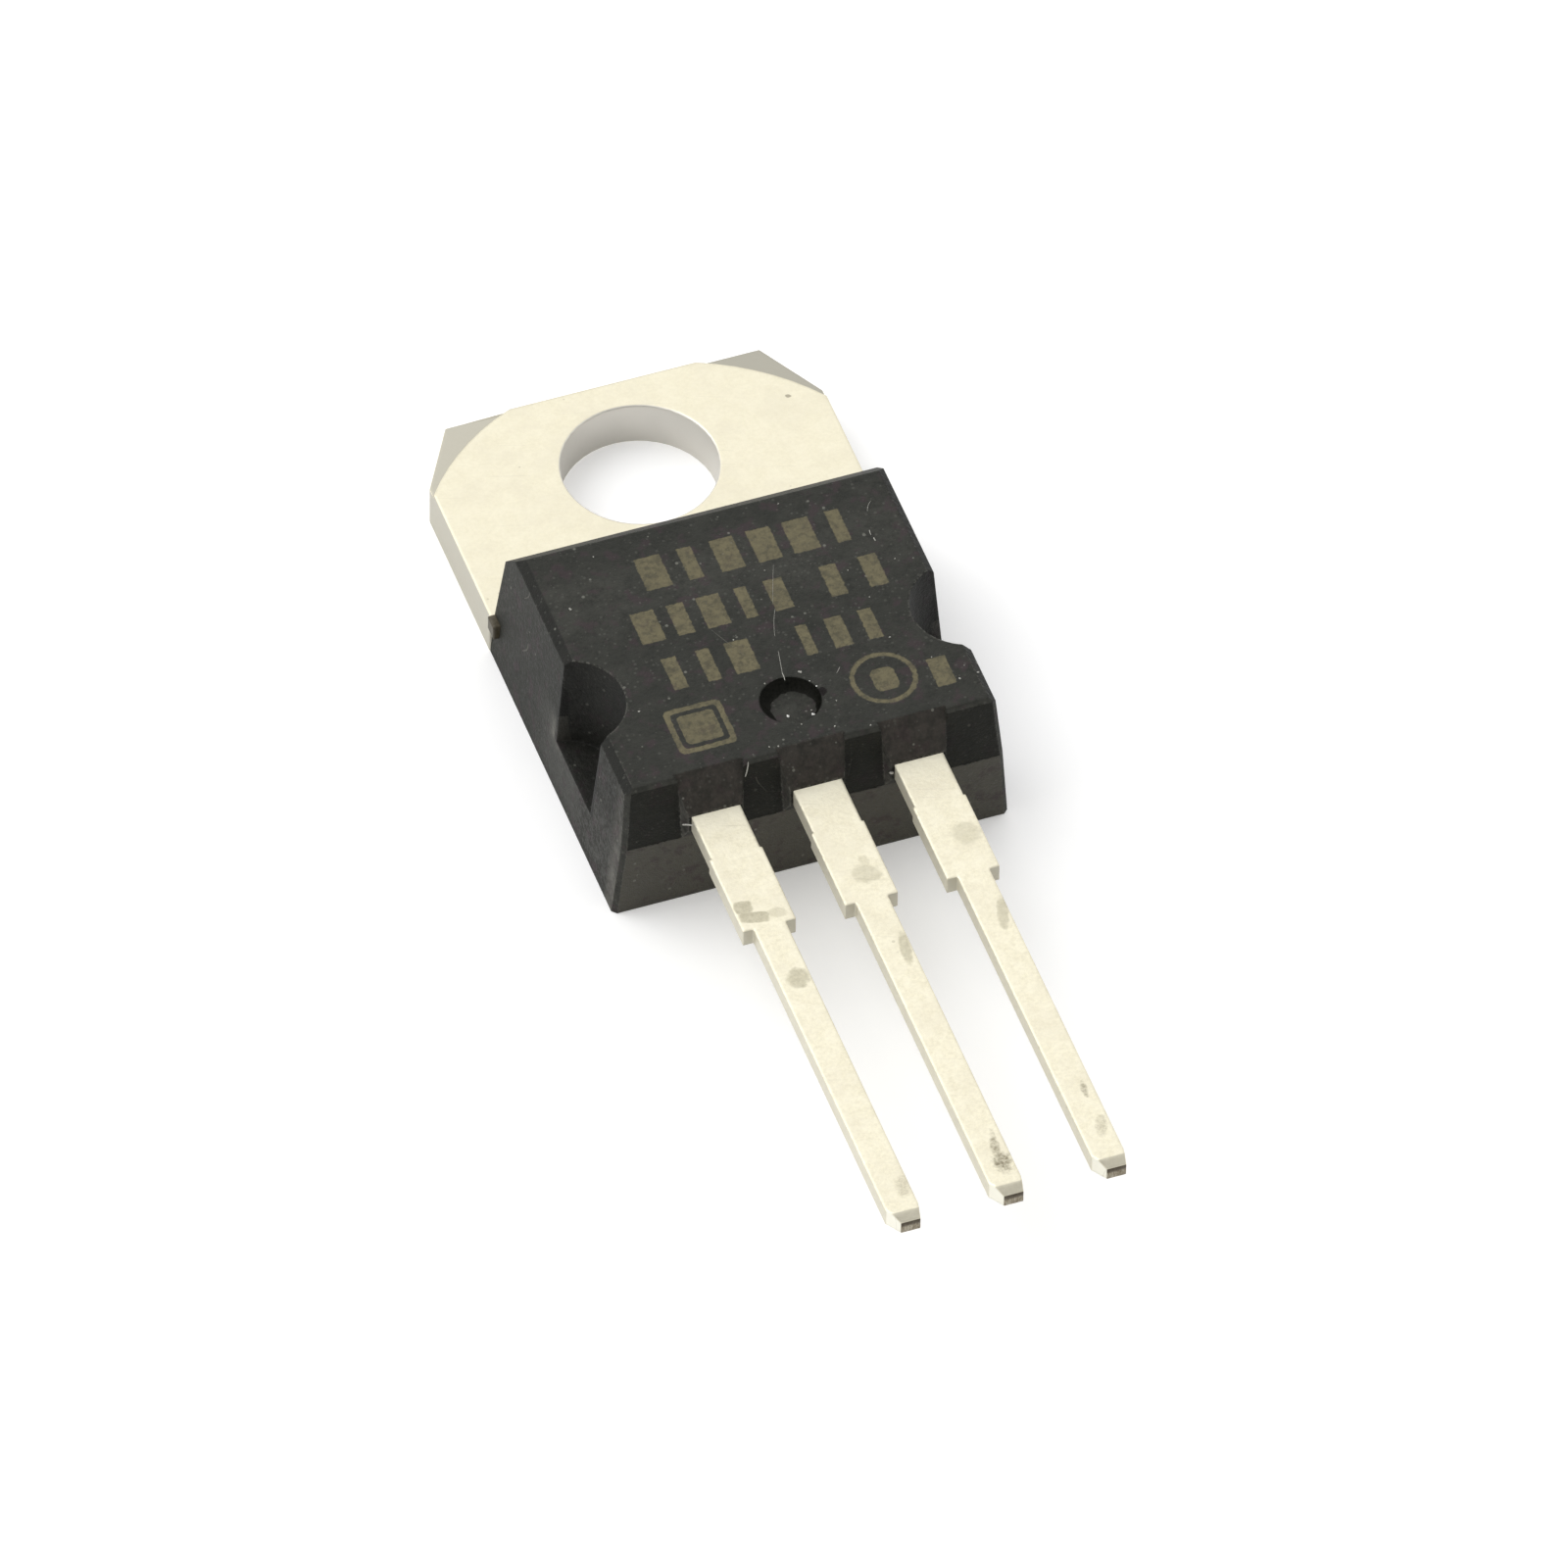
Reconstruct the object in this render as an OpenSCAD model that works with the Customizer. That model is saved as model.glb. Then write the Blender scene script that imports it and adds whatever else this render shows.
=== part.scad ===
// Power transistor in the three-lead, single-hole tab package.
// Frame: the back of the tab lies on Z = 0 and +Z points out of the marked face.
// The origin is the centre of the mounting hole on the back face.
// The tab runs toward +Y, the leads toward -Y and +X is to the right of the marked face.

/* [Heat-sink tab] */
// Width of the tab
tab_w = 10; // [9.7:0.05:10.3]
// Thickness of the copper plate
tab_t = 1.27; // [1.15:0.01:1.4]
// Distance from the hole centre to the top edge of the tab
tab_top = 2.72; // [2.6:0.01:2.9]
// Diameter of the mounting hole
hole_d = 3.84; // [3.5:0.01:4.1]
// Width of each cut corner, across the tab
corner_w = 1; // [0.6:0.05:1.3]
// Length of each cut corner, along the tab
corner_len = 1.75; // [1:0.05:2]
// Depth of the pressed flats at the cut corners
coin_depth = 0.12; // [0.05:0.01:0.2]
// Radius of the arc that bounds the pressed flats
coin_r = 6.2; // [6:0.05:6.4]
// Distance of the arc's centre below the hole centre
coin_drop = 3; // [2.8:0.05:3.2]
// Length of the sheared tie-bar stub on each edge of the tab
stub_len = 0.42; // [0.3:0.02:0.6]
// Height of the tie-bar stub, down from the front face of the tab
stub_h = 0.42; // [0.3:0.02:0.6]
// How far the tie-bar stub stands out of the moulding
stub_out = 0.07; // [0.02:0.01:0.12]

/* [Die pad inside the moulding] */
// Thickness of the moulding beside the copper plate, at its back face
pad_wall = 0.53; // [0.4:0.01:1]
// Length of the copper plate inside the moulding
pad_len = 7.3; // [6.8:0.05:7.4]
// Width of the step that locks the plate in the moulding
lock_w = 0.25; // [0.1:0.05:0.4]
// Height of the locking step over the back face
lock_h = 0.45; // [0.3:0.05:0.6]
// Distance of the cross groove from the start of the moulding
groove_pos = 1; // [0.7:0.05:1.3]
// Width of the cross groove
groove_w = 0.4; // [0.2:0.05:0.5]
// Depth of the cross groove
groove_depth = 0.2; // [0.1:0.02:0.25]

/* [Moulding] */
// How far each side of the moulding stands in from the tab's edge, at its back face
body_inset = 0.02; // [0:0.01:0.1]
// Distance from the hole centre to the moulding
body_start = 3.45; // [3.3:0.05:3.6]
// Length of the moulding along the parting line
body_len = 8.97; // [8.8:0.01:9.2]
// Height of the moulding over the back face
body_h = 4.1; // [4:0.05:4.6]
// Height of the parting line at the lead end
parting_z = 2.25; // [2:0.05:2.5]
// Draft of the side walls, in degrees
side_draft = 5; // [3:0.5:7]
// Draft of the end wall over the tab, in degrees
tab_end_draft = 7; // [4:0.5:10]
// Draft of the lead-side wall above the parting line, in degrees
lead_end_draft = 6; // [3:0.5:8]
// Draft of the lead-side wall below the parting line, in degrees
lower_draft = 2.5; // [1:0.5:4]
// Width of the bevel at the top edge over the tab
tab_bevel = 0.77; // [0.5:0.01:0.9]
// Width of the bevels at the top edges of the sides
side_bevel = 0.2; // [0.1:0.01:0.3]
// Width of the bevel at the top edge over the leads
lead_bevel = 0.1; // [0.05:0.01:0.2]
// Depth of the bevels on the two upright corners at the lead end
corner_bevel = 0.08; // [0.04:0.01:0.15]

/* [Side notches, dimple and lead ramps] */
// Radius of each side notch at the top face
notch_top_r = 1.36; // [1.2:0.02:1.5]
// Radius of each side notch at its floor
notch_floor_r = 1.22; // [1.1:0.02:1.3]
// Distance of the notches from the hole centre
notch_pos = 9.12; // [9:0.02:9.3]
// Thickness of the moulding between a notch floor and the copper
notch_skin = 0.15; // [0.1:0.01:0.3]
// Diameter of the ejector-pin dimple
dimple_d = 1.48; // [1.2:0.02:1.6]
// Depth of the dimple
dimple_depth = 0.24; // [0.1:0.02:0.3]
// Distance of the dimple from the hole centre
dimple_pos = 10.72; // [10.6:0.02:10.8]
// Width of the ramp over each lead, at the top face
ramp_top_w = 1.74; // [1.6:0.02:1.8]
// Width of the ramp over each lead, at the lead
ramp_w = 1.36; // [1.32:0.02:1.5]
// How far each ramp stands out of the parting line
ramp_out = 0.24; // [0.15:0.01:0.35]
// Slope of the ramps, in degrees
ramp_angle = 57; // [52:1:62]

/* [Leads] */
// Distance between neighbouring leads
pitch = 2.54; // [2.5:0.01:2.6]
// Thickness of the leads
lead_t = 0.5; // [0.45:0.01:0.55]
// Height of the leads over the back face
lead_z = 2.66; // [2.6:0.01:2.75]
// Distance from the hole centre to the lead tips
lead_end = 26; // [25:0.1:27.5]
// Width of a lead where it leaves the moulding
root_w = 1.22; // [1.1:0.02:1.3]
// Width of a lead between the dam-bar line and its shoulders
wide_w = 1.32; // [1.2:0.02:1.4]
// Width of the narrow part of a lead
narrow_w = 0.8; // [0.7:0.02:0.9]
// Distance of the dam-bar line from the hole centre
dam_pos = 14.05; // [13.6:0.05:14.5]
// Distance of the shoulders from the hole centre
shoulder_pos = 16.45; // [16:0.05:16.8]
// Length of the taper on the sides of the tip
tip_len = 0.38; // [0.2:0.02:0.5]
// Length of the taper on the front of the tip
tip_front_len = 0.22; // [0.1:0.02:0.4]
// Width of the sheared end face
tip_w = 0.48; // [0.4:0.02:0.6]
// Height of the sheared end face
tip_h = 0.34; // [0.2:0.02:0.4]
// How far the end face lies to the right of the lead's centre line
tip_shift = 0.1; // [0:0.01:0.1]
// Slope of the joggle in the centre lead, in degrees
jog_angle = 60; // [55:1:65]
// Width of the bond post at the inner end of each outer lead
post_w = 2.1; // [1.8:0.05:2.4]
// Length of the bond post
post_len = 0.9; // [0.7:0.05:1]
// Distance of the bond posts from the hole centre
post_pos = 10.9; // [10.8:0.05:11]

/* [Die and bond wires] */
// Edge length of the silicon die
die_w = 3.4; // [2.8:0.1:4]
// Thickness of the die
die_t = 0.28; // [0.2:0.02:0.35]
// Distance of the die's centre from the hole centre
die_pos = 7.1; // [6.9:0.05:7.3]
// Thickness of the solder under the die
solder_t = 0.05; // [0.03:0.01:0.1]
// How far the solder spreads beyond the die
solder_rim = 0.1; // [0.05:0.05:0.3]
// Diameter of the base bond wire
base_wire_d = 0.25; // [0.2:0.01:0.3]
// Diameter of the emitter bond wire
emitter_wire_d = 0.38; // [0.3:0.01:0.4]
// Distance of the wire bonds on the die from the package's centre line
bond_x = 0.9; // [0.6:0.05:1.1]
// Distance of the wire bonds on the die from its front edge
bond_inset = 0.6; // [0.4:0.05:1]
// Angle that the loop of a wire turns through, in degrees
wire_turn = 70; // [60:2:76]

/* [Hidden] */
$fn = 96;

LEAD_X = [-pitch, 0, pitch];
body_w = tab_w - 2 * body_inset;
pad_w = body_w - 2 * pad_wall;
lead_top = lead_z + lead_t;
body_end = body_start + body_len;
pad_end = body_start + pad_len;
ramp_end = body_end + ramp_out;
nose_root = body_end - 2.5 * ramp_out;
die_top = tab_t + solder_t + die_t;
tall = 2 * body_h;
// Length, width and height of a wedge bond, as multiples of the wire's diameter.
FOOT_LONG = 2.5;
FOOT_WIDE = 1.4;
FOOT_HIGH = 0.6;

// Points mirrored in the line x = 0, in the opposite order.
function mirrored(half) = [for (i = [len(half) - 1:-1:0]) [-half[i][0], half[i][1]]];

// Points and their mirror images in one round.
function both_sides(half) = concat(half, mirrored(half));

// Extrudes a profile drawn as [y, z] across the whole width w, centred on X = 0.
module along_x(w) {
    translate([-w / 2, 0, 0]) rotate([90, 0, 90]) linear_extrude(w) children();
}

// Extrudes a profile drawn as [x, z] from y = near to y = far.
module along_y(near, far) {
    translate([0, far, 0]) rotate([90, 0, 0]) linear_extrude(far - near) children();
}

// Half of the moulding's cross-section, drawn as [x, z].
function side_half() =
    let (x = body_w / 2 - (body_h - side_bevel) * tan(side_draft))
    [[body_w / 2, 0], [x, body_h - side_bevel], [x - side_bevel, body_h]];

// The moulding's section along the package, drawn as [y, z].
function end_section() =
    let (wall_top = body_h - tab_bevel,
         back = body_start + (wall_top - tab_t) * tan(tab_end_draft),
         lip = body_end - (body_h - lead_bevel - parting_z) * tan(lead_end_draft))
    [[-body_start, 0], [-body_start, tab_t], [-back, wall_top], [-back - tab_bevel, body_h],
     [-lip + lead_bevel, body_h], [-lip, body_h - lead_bevel], [-body_end, parting_z],
     [-body_end + parting_z * tan(lower_draft), 0]];

// A prism with one face that bevels an upright corner at the lead end and leans with its walls.
// side is -1 for the left corner and 1 for the right one.
module corner_prism(side) {
    x = body_w / 2;
    reach = body_w + body_end;
    function out(x, y) = (x + y) / sqrt(2) - corner_bevel;
    rotate([0, 0, -90 + 45 * side]) along_y(-reach, reach) polygon([
        [-reach, 0],
        [out(x, body_end - parting_z * tan(lower_draft)), 0],
        [out(x - parting_z * tan(side_draft), body_end), parting_z],
        [out(x - body_h * tan(side_draft), body_end - (body_h - parting_z) * tan(lead_end_draft)), body_h],
        [-reach, body_h]]);
}

// The drafted block before its notches, ramps and cavities.
module drafted_block() {
    intersection() {
        along_x(body_w) polygon(end_section());
        along_y(-body_end, -body_start) polygon(both_sides(side_half()));
        corner_prism(-1);
        corner_prism(1);
    }
}

// What lies over the leads, seen from above: it narrows along each ramp.
module over_leads() {
    foot = ramp_end - (body_h - lead_top) / tan(ramp_angle);
    for (x = LEAD_X)
        translate([x, 0]) polygon(both_sides([
            [ramp_top_w / 2, -nose_root], [ramp_top_w / 2, -foot], [ramp_w / 2, -ramp_end]]));
}

// A nose over each lead: it wraps the lead's root and slopes down from the top face.
module lead_noses() {
    intersection() {
        along_x(body_w)
            polygon([[-nose_root, parting_z], [-body_end, parting_z], [-ramp_end, lead_z],
                     [-ramp_end, body_h], [-nose_root, body_h]]);
        linear_extrude(body_h) over_leads();
    }
}

// What the ramps take away over the leads.
module ramp_cuts() {
    run = tall / tan(ramp_angle);
    intersection() {
        along_x(body_w)
            polygon([[-ramp_end, lead_top], [-ramp_end, lead_top + tall], [-ramp_end + run, lead_top + tall]]);
        linear_extrude(2 * tall) over_leads();
    }
}

// Half-round notch in each side wall, narrowing toward its floor.
module side_notches() {
    floor_z = tab_t + notch_skin;
    slope = (notch_top_r - notch_floor_r) / (body_h - floor_z);
    for (sx = [-1, 1])
        translate([sx * body_w / 2, -notch_pos, floor_z])
            cylinder(h = tall - floor_z, r1 = notch_floor_r,
                     r2 = notch_floor_r + slope * (tall - floor_z));
}

module moulded_body() {
    color([0.17, 0.17, 0.16]) difference() {
        union() {
            drafted_block();
            lead_noses();
        }
        ramp_cuts();
        side_notches();
        translate([0, -dimple_pos, body_h - dimple_depth])
            cylinder(h = tall, d = dimple_d);
        tab_plate();
        centre_lead();
        for (side = [-1, 1])
            outer_lead(side);
        solder_pad();
        die_block();
        bond_wire(-1, base_wire_d);
        bond_wire(1, emitter_wire_d);
    }
}

// The tab outside the moulding: cut corners, pressed flats and the mounting hole.
module tab_outside() {
    x = tab_w / 2;
    difference() {
        linear_extrude(tab_t)
            polygon([[-x, -body_start], [x, -body_start], [x, tab_top - corner_len],
                     [x - corner_w, tab_top], [corner_w - x, tab_top], [-x, tab_top - corner_len]]);
        translate([0, 0, -tab_t]) cylinder(h = 3 * tab_t, d = hole_d);
        translate([0, 0, tab_t - coin_depth]) linear_extrude(tab_t) difference() {
            translate([-tab_w, -coin_drop / 2]) square([2 * tab_w, 2 * tab_w]);
            translate([0, -coin_drop]) circle(coin_r);
        }
    }
}

// The plate inside the moulding, narrower at the back face so that the moulding holds it.
module die_pad() {
    difference() {
        union() {
            translate([-pad_w / 2, -pad_end, lock_h])
                cube([pad_w, pad_len, tab_t - lock_h]);
            translate([-pad_w / 2 + lock_w, -pad_end + lock_w, 0])
                cube([pad_w - 2 * lock_w, pad_len - lock_w, tab_t]);
        }
        translate([0, -body_start - groove_pos, tab_t]) along_x(tab_w)
            polygon([[-groove_w / 2, 0], [0, -groove_depth], [groove_w / 2, 0],
                     [groove_w / 2, tab_t], [-groove_w / 2, tab_t]]);
    }
}

// The plate with its sheared tie-bar stubs, as one stamping.
module tab_plate() {
    tab_outside();
    die_pad();
    reach = body_w / 2 + stub_out;
    translate([-reach, -body_start - stub_len, tab_t - stub_h])
        cube([2 * reach, stub_len, stub_h]);
}

// A lead seen from above. head holds the points of its inner end, on one side.
module lead_outline(head) {
    shaft = concat(head, [
        [root_w / 2, -dam_pos],
        [wide_w / 2, -dam_pos],
        [wide_w / 2, -shoulder_pos],
        [narrow_w / 2, -shoulder_pos],
        [narrow_w / 2, -lead_end + tip_len]]);
    end_face = [[tip_shift + tip_w / 2, -lead_end], [tip_shift - tip_w / 2, -lead_end]];
    polygon(concat(shaft, end_face, mirrored(shaft)));
}

// The lead's tip seen from the side: its front corner is tapered down to the end face.
function tip_section() = [
    [-lead_end + tip_front_len, lead_top],
    [-lead_end, lead_z + tip_h],
    [-lead_end, lead_z]];

// The centre lead: it leaves the die pad and steps up to the plane of the outer leads.
module centre_lead() {
    rise = lead_top - tab_t;
    foot = pad_end - lock_w;
    knee = pad_end + lead_t * tan(jog_angle / 2);
    bend = lead_t * tan(jog_angle / 2);
    crest = knee + rise / tan(jog_angle);
    intersection() {
        linear_extrude(tall) lead_outline([[root_w / 2, -foot]]);
        along_x(tab_w) polygon(concat(
            [[-foot, tab_t - lead_t], [-foot, tab_t], [-knee + bend, tab_t], [-crest + bend, lead_top]],
            tip_section(),
            [[-crest, lead_z], [-knee, tab_t - lead_t]]));
    }
}

// An outer lead with its bond post; side is -1 for the left lead and 1 for the right one.
module outer_lead(side) {
    post_end = post_pos + post_len;
    translate([side * pitch, 0, 0]) intersection() {
        translate([0, 0, lead_z]) linear_extrude(lead_t)
            lead_outline([[post_w / 2, -post_pos], [post_w / 2, -post_end], [root_w / 2, -post_end]]);
        along_x(tab_w) polygon(concat(
            [[-post_pos, lead_z], [-post_pos, lead_top]],
            tip_section()));
    }
}

module heat_sink_tab() {
    color([0.86, 0.85, 0.8]) union() {
        tab_plate();
        centre_lead();
    }
}

module base_lead() {
    color([0.86, 0.85, 0.8]) outer_lead(-1);
}

module emitter_lead() {
    color([0.86, 0.85, 0.8]) outer_lead(1);
}

// A square slab centred on the die's place.
module die_slab(w, z, t) {
    translate([-w / 2, -die_pos - w / 2, z]) cube([w, w, t]);
}

module solder_pad() {
    die_slab(die_w + 2 * solder_rim, tab_t, solder_t);
}

module die_block() {
    die_slab(die_w, tab_t + solder_t, die_t);
}

module silicon_die() {
    color([0.3, 0.32, 0.36]) die_block();
}

module die_attach_solder() {
    color([0.6, 0.6, 0.6]) solder_pad();
}

// A flattened wedge bond, centred on the local origin, on the surface below it.
module wire_foot(d) {
    translate([-FOOT_LONG * d / 2, -FOOT_WIDE * d / 2, 0])
        cube([FOOT_LONG * d, FOOT_WIDE * d, FOOT_HIGH * d]);
}

// A bond wire from the die to an outer lead's post: one arc in an upright plane, and two feet.
module bond_wire(side, d) {
    from = [side * bond_x, -die_pos - die_w / 2 + bond_inset, die_top];
    to = [side * pitch, -post_pos - post_len / 2, lead_top];
    step = to - from;
    span = norm([step[0], step[1]]);
    r = norm(step) / (2 * sin(wire_turn / 2));
    start_angle = atan2(step[2], span) + wire_turn / 2;
    translate(from) rotate([0, 0, atan2(step[1], step[0])]) {
        wire_foot(d);
        translate([span, 0, step[2]]) wire_foot(d);
        translate([r * sin(start_angle), 0, FOOT_HIGH * d - r * cos(start_angle)]) rotate([90, 0, 0])
            rotate_extrude(angle = wire_turn, start = start_angle - wire_turn + 90)
                translate([r, 0]) circle(d = d, $fn = 32);
    }
}

module base_bond_wire() {
    color([0.82, 0.83, 0.85]) bond_wire(-1, base_wire_d);
}

module emitter_bond_wire() {
    color([0.82, 0.83, 0.85]) bond_wire(1, emitter_wire_d);
}

moulded_body();
heat_sink_tab();
base_lead();
emitter_lead();
silicon_die();
die_attach_solder();
base_bond_wire();
emitter_bond_wire();
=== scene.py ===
"""Finishes for the power transistor: matt epoxy moulding, tinned copper, and the small marks of its making.

Everything is in metres in the part's own frame: the back of the tab lies on z = 0, +Z points out of the
marked face, the tab runs toward +Y and the leads toward -Y.
"""
import math

import bpy
import numpy as np
from mathutils import Matrix, Vector


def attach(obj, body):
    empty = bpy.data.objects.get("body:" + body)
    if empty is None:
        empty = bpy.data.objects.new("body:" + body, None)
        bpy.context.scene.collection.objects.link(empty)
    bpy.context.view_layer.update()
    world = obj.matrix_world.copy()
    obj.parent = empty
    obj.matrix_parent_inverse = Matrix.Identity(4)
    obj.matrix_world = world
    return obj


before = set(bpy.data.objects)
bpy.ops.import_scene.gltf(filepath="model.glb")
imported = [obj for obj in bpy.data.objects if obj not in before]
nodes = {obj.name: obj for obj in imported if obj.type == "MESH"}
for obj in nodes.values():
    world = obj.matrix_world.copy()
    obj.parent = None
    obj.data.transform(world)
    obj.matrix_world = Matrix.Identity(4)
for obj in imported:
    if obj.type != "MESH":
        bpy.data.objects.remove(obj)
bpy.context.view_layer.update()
MM = 0.001

# The three axes, and places on the part in millimetres.
X, Y, Z = 0, 1, 2
TOP_Z = 4.1
PARTING_Z = 2.25
BODY_END = 12.42
NOTCH = (4.98, -9.12)
NOTCH_R = 1.4  # just past the rim
NOTCH_FLOOR = 1.42
DIMPLE = (0.0, -10.72)
DIMPLE_R = 0.74
DIMPLE_DEPTH = 0.24
PIN_FACE = (0.05, -10.8)
NOSE_LEAN = 0.545  # how much the noses' faces look up
LEAD_X = (-2.54, 0.0, 2.54)
LEAD_SIDE = 0.61
NOSE_END = 12.66
LEAD_TOP = 3.16
LEAD_Z = 2.66
TIP_Y = -26.0
BORE_R = 1.96  # just past the wall


# ---------------------------------------------------------------- node helpers
def shade(red, green, blue):
    """A colour given as a screen shows it, 0 to 255, as the linear colour that a shader takes."""
    def linear(c):
        c /= 255
        return c / 12.92 if c <= 0.04045 else ((c + 0.055) / 1.055) ** 2.4
    return (linear(red), linear(green), linear(blue), 1.0)


def at(x, y, z=0.0):
    """A place given in millimetres, as a vector in metres."""
    return (x * MM, y * MM, z * MM)


def put(tree, kind, inputs=None, **options):
    """Adds a node, sets its options, and fills or links the inputs, which go by name or number."""
    node = tree.nodes.new("ShaderNode" + kind)
    for name, value in options.items():
        setattr(node, name, value)
    for name, value in (inputs or {}).items():
        if isinstance(value, bpy.types.NodeSocket):
            tree.links.new(value, node.inputs[name])
        else:
            node.inputs[name].default_value = value
    return node


def reckon(tree, operation, *values, clamp=False):
    """One step of arithmetic on numbers."""
    return put(tree, "Math", dict(enumerate(values)), operation=operation, use_clamp=clamp).outputs[0]


def reckon_vector(tree, operation, *values):
    """One step of arithmetic on vectors; the result is a vector."""
    return put(tree, "VectorMath", dict(enumerate(values)), operation=operation).outputs[0]


def times(tree, first, *others):
    """The product of several numbers or masks."""
    for other in others:
        first = reckon(tree, "MULTIPLY", first, other)
    return first


def most(tree, first, *others):
    """The strongest of several masks."""
    for other in others:
        first = reckon(tree, "MAXIMUM", first, other)
    return first


def outside(tree, mask):
    """White where the mask is black."""
    return reckon(tree, "SUBTRACT", 1.0, mask)


def summed(tree, *layers):
    """The sum of several masks, each given with its weight."""
    total = times(tree, *layers[0])
    for mask, weight in layers[1:]:
        total = reckon(tree, "ADD", total, times(tree, mask, weight))
    return total


def size_of(tree, value):
    """A number without its sign."""
    return reckon(tree, "ABSOLUTE", value)


def parts_of(tree, vector):
    """The three parts of a vector."""
    return put(tree, "SeparateXYZ", {0: vector}).outputs


def spread(tree, value, low, high, to_low=0.0, to_high=1.0):
    """Spreads the range low to high over to_low to to_high, softly at both ends."""
    return put(tree, "MapRange", {0: value, 1: low, 2: high, 3: to_low, 4: to_high},
               interpolation_type="SMOOTHSTEP").outputs[0]


def lay_over(tree, mask, under, over):
    """Lays one colour over another where the mask is white."""
    return put(tree, "Mix", {0: mask, 6: under, 7: over}, data_type="RGBA").outputs[2]


def coat(tree, colour, coats):
    """Lays coats over a colour, one after another, each given as (mask, strength, its colour)."""
    for mask, strength, over in coats:
        colour = lay_over(tree, times(tree, mask, strength), colour, over)
    return colour


def between(tree, mask, low, high):
    """A number that goes from low to high with the mask."""
    return put(tree, "Mix", {0: mask, 2: low, 3: high}, data_type="FLOAT").outputs[0]


def turned_to(tree, value, *changes):
    """A number that turns into another where a mask is white, for each change given as (mask, number)."""
    for mask, number in changes:
        value = between(tree, mask, value, number)
    return value


def band(tree, position, axis, low, high, soft):
    """A mask that is white where one coordinate, in millimetres, lies between low and high."""
    value = times(tree, parts_of(tree, position)[axis], 1 / MM)
    up = spread(tree, value, low - soft, low + soft)
    down = spread(tree, value, high - soft, high + soft, 1.0, 0.0)
    return times(tree, up, down)


def new_group(name, takes, gives):
    """A shader node group with named inputs, as (name, kind, value), and named outputs, as (name, kind)."""
    tree = bpy.data.node_groups.new(name, "ShaderNodeTree")
    for label, kind, value in takes:
        socket = tree.interface.new_socket(label, in_out="INPUT", socket_type="NodeSocket" + kind)
        if value is not None:
            socket.default_value = value
    for label, kind in gives:
        tree.interface.new_socket(label, in_out="OUTPUT", socket_type="NodeSocket" + kind)
    return tree, tree.nodes.new("NodeGroupInput").outputs, tree.nodes.new("NodeGroupOutput").inputs


def effect(tree, group, **inputs):
    """Places a node group in a material; an underscore in an input's name stands for a space."""
    named = {name.replace("_", " "): value for name, value in inputs.items()}
    return put(tree, "Group", named, node_tree=group).outputs


# ---------------------------------------------------------------- effects
def make_grain():
    """Grain: two sizes of noise, one three times finer, added and centred on a half."""
    tree, take, give = new_group("grain", [("Position", "Vector", None), ("Size", "Float", 0.0001)],
                                 [("Grain", "Float")])
    scale = reckon(tree, "DIVIDE", 1.0, take["Size"])
    coarse = put(tree, "TexNoise", {"Vector": take["Position"], "Scale": scale, "Detail": 2.0})
    finer = times(tree, scale, 3.1)
    fine = put(tree, "TexNoise", {"Vector": take["Position"], "Scale": finer, "Detail": 1.0})
    mixed = between(tree, 0.4, coarse.outputs["Fac"], fine.outputs["Fac"])
    tree.links.new(spread(tree, mixed, 0.3, 0.7), give["Grain"])
    return tree


def make_patches():
    """Patches: broad noise cut off at a level, so that Share of the surface is covered, with soft edges."""
    tree, take, give = new_group(
        "patches", [("Position", "Vector", None), ("Size", "Float", 0.001), ("Share", "Float", 0.4),
                    ("Softness", "Float", 0.1)], [("Mask", "Float")])
    scale = reckon(tree, "DIVIDE", 1.0, take["Size"])
    noise = put(tree, "TexNoise", {"Vector": take["Position"], "Scale": scale, "Detail": 4.0,
                                   "Roughness": 0.6})
    level = reckon(tree, "SUBTRACT", 0.75, times(tree, take["Share"], 0.5))
    low = reckon(tree, "SUBTRACT", level, take["Softness"])
    high = reckon(tree, "ADD", level, take["Softness"])
    tree.links.new(spread(tree, noise.outputs["Fac"], low, high), give["Mask"])
    return tree


def make_specks():
    """Specks: one random point in each cell of a grid; a share of the cells gets a small soft dot."""
    tree, take, give = new_group(
        "specks", [("Position", "Vector", None), ("Spacing", "Float", 0.0003), ("Share", "Float", 0.2),
                   ("Radius", "Float", 0.2)], [("Mask", "Float")])
    scale = reckon(tree, "DIVIDE", 1.0, take["Spacing"])
    cells = put(tree, "TexVoronoi", {"Vector": take["Position"], "Scale": scale})
    chance = put(tree, "SeparateColor", {0: cells.outputs["Color"]})
    kept = reckon(tree, "LESS_THAN", chance.outputs[0], take["Share"])
    reach = times(tree, take["Radius"], between(tree, chance.outputs[1], 0.4, 1.0))
    near = times(tree, reach, 0.5)
    dot = spread(tree, cells.outputs["Distance"], near, reach, 1.0, 0.0)
    tree.links.new(times(tree, dot, kept), give["Mask"])
    return tree


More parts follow.
